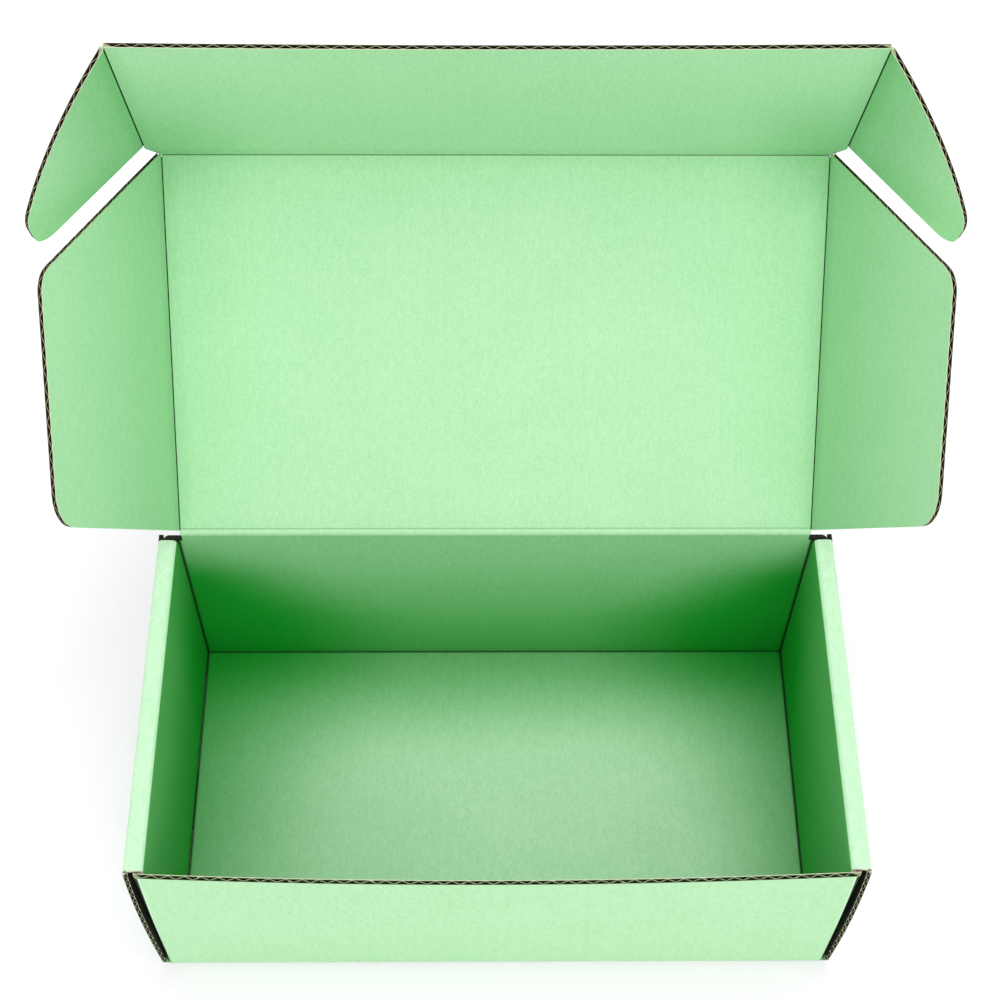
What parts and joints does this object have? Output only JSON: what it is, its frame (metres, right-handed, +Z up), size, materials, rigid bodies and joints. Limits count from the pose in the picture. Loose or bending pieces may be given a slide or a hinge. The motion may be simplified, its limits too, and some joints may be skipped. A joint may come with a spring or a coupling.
{
  "type": "corrugated mailer box",
  "caption": "Roll-end tuck-front mailer box of green-lined fine corrugated card, standing open with its lid laid back",
  "frame": {"origin": "Centre of the base's underside, where the standing box rests", "axes": "+Z up; +X to the box's right seen from the front; +Y from the front wall to the back wall that carries the lid"},
  "size_m": [0.3026, 0.2185, 0.2621],
  "materials": {
    "board": "matte"
  },
  "bodies": {
    "tray": {"tray": "board"},
    "lid": {"lid": "board"},
    "tuck_flap": {"tuck_flap": "board"},
    "left_ear": {"left_ear": "board"},
    "right_ear": {"right_ear": "board"},
    "left_side_flap": {"left_side_flap": "board"},
    "right_side_flap": {"right_side_flap": "board"}
  },
  "joints": [
    {"name": "lid_hinge", "type": "hinge", "parent": "tray", "child": "lid", "pos_m": [0, 0.0643, 0.0907], "axis": [1, 0, 0], "range_deg": [-6, 131.5]},
    {"name": "tuck_hinge", "type": "hinge", "parent": "lid", "child": "tuck_flap", "pos_m": [0, 0.15196, 0.19099], "axis": [1, 0, 0], "range_deg": [-60, 30]},
    {"name": "left_ear_hinge", "type": "hinge", "parent": "tuck_flap", "child": "left_ear", "pos_m": [-0.1177, 0.15196, 0.19099], "axis": [0, -0.3173, 0.9483], "range_deg": [-48, 1]},
    {"name": "right_ear_hinge", "type": "hinge", "parent": "tuck_flap", "child": "right_ear", "pos_m": [0.1177, 0.15196, 0.19099], "axis": [0, 0.3173, -0.9483], "range_deg": [-48, 1]},
    {"name": "left_side_flap_hinge", "type": "hinge", "parent": "lid", "child": "left_side_flap", "pos_m": [-0.1129, 0.0637, 0.09123], "axis": [0, 0.6626, 0.749], "range_deg": [-4, 66]},
    {"name": "right_side_flap_hinge", "type": "hinge", "parent": "lid", "child": "right_side_flap", "pos_m": [0.1129, 0.0637, 0.09123], "axis": [0, -0.6626, -0.749], "range_deg": [-4, 66]}
  ],
  "couplings": [
    {"joint": "left_side_flap_hinge", "follows": "lid_hinge", "ratio": 0.49},
    {"joint": "right_side_flap_hinge", "follows": "lid_hinge", "ratio": 0.49}
  ]
}
